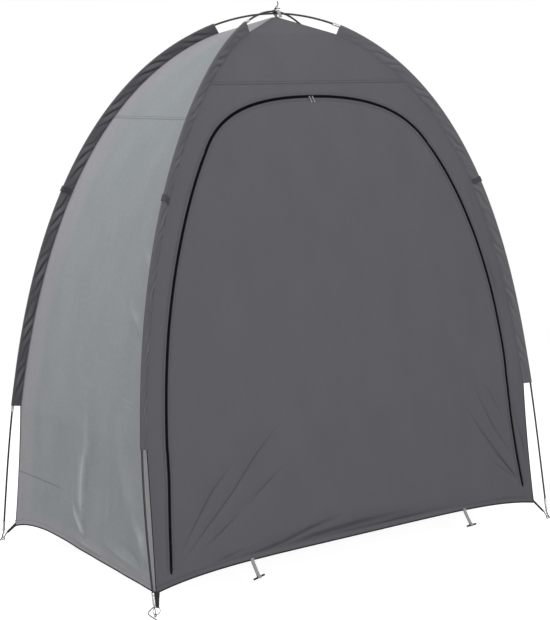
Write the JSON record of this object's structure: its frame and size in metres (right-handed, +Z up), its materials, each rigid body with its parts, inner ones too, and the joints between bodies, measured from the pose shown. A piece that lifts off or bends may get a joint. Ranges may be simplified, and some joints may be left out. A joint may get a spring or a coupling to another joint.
{
  "type": "bike storage tent",
  "caption": "Tall free-standing storage tent for bicycles: poles crossing at the top carry charcoal and light grey cloth walls, with a zipped arched door in the long side",
  "frame": {"origin": "on the floor under the pole crossing, which is the centre of the bounding box's bottom", "axes": "+Z up, -Y out of the door wall, X along the tent's long side"},
  "size_m": [1.8258, 1.3664, 1.9466],
  "materials": {
    "charcoal_cloth": "matt coated woven polyester",
    "light_grey_cloth": "matt coated woven polyester",
    "sleeve_cloth": "matt woven polyester, gathered",
    "black_fibreglass": "smooth black fibreglass rod",
    "bright_steel": "bright zinc-plated steel",
    "black_webbing": "flat woven webbing",
    "grey_webbing": "flat woven webbing",
    "black_zip": "nylon coil zip on black tape",
    "black_plastic": "moulded black plastic",
    "grey_cord": "flat woven tape"
  },
  "bodies": {
    "root": {"back_crown": "charcoal_cloth", "back_wall": "charcoal_cloth", "back_wall_high": "charcoal_cloth", "back_wall_low": "charcoal_cloth", "corner_tab_back_left": "black_webbing", "corner_tab_back_right": "black_webbing", "corner_tab_front_left": "black_webbing", "corner_tab_front_right": "black_webbing", "crown_tie": "grey_cord", "door_panel": "charcoal_cloth", "door_zip": "black_zip", "ferrule_back_right": "bright_steel", "ferrule_front_left": "bright_steel", "ferrule_front_right": "bright_steel", "ferrule_low_back_left": "bright_steel", "front_crown": "charcoal_cloth", "front_wall_left": "charcoal_cloth", "front_wall_over_door": "charcoal_cloth", "front_wall_right": "charcoal_cloth", "guy_loop_back_left": "black_webbing", "guy_loop_back_right": "black_webbing", "guy_loop_front_left": "black_webbing", "guy_loop_front_right": "black_webbing", "left_crown": "light_grey_cloth", "left_wall": "light_grey_cloth", "left_wall_high": "light_grey_cloth", "left_wall_low": "light_grey_cloth", "peg_back_left": "bright_steel", "peg_back_right": "bright_steel", "peg_front_left": "bright_steel", "peg_front_right": "bright_steel", "pin_back_left": "bright_steel", "pin_back_right": "bright_steel", "pin_front_left": "bright_steel", "pin_front_right": "bright_steel", "pole_over": "black_fibreglass", "pole_tip_back_left": "bright_steel", "pole_tip_back_right": "bright_steel", "pole_tip_front_left": "bright_steel", "pole_tip_front_right": "bright_steel", "pole_under": "black_fibreglass", "right_crown": "light_grey_cloth", "right_wall": "light_grey_cloth", "right_wall_high": "light_grey_cloth", "right_wall_low": "light_grey_cloth", "ring_back_left": "bright_steel", "ring_back_right": "bright_steel", "ring_front_left": "bright_steel", "ring_front_right": "bright_steel", "sleeve_back_left": "sleeve_cloth", "sleeve_back_right": "sleeve_cloth", "sleeve_front_left": "sleeve_cloth", "sleeve_front_right": "sleeve_cloth", "tie_tail": "grey_cord", "toggle_bar_left": "black_plastic", "toggle_bar_right": "black_plastic", "toggle_strap_left": "grey_webbing", "toggle_strap_right": "grey_webbing", "zip_pull_left": "bright_steel", "zip_pull_right": "bright_steel"}
  },
  "joints": []
}
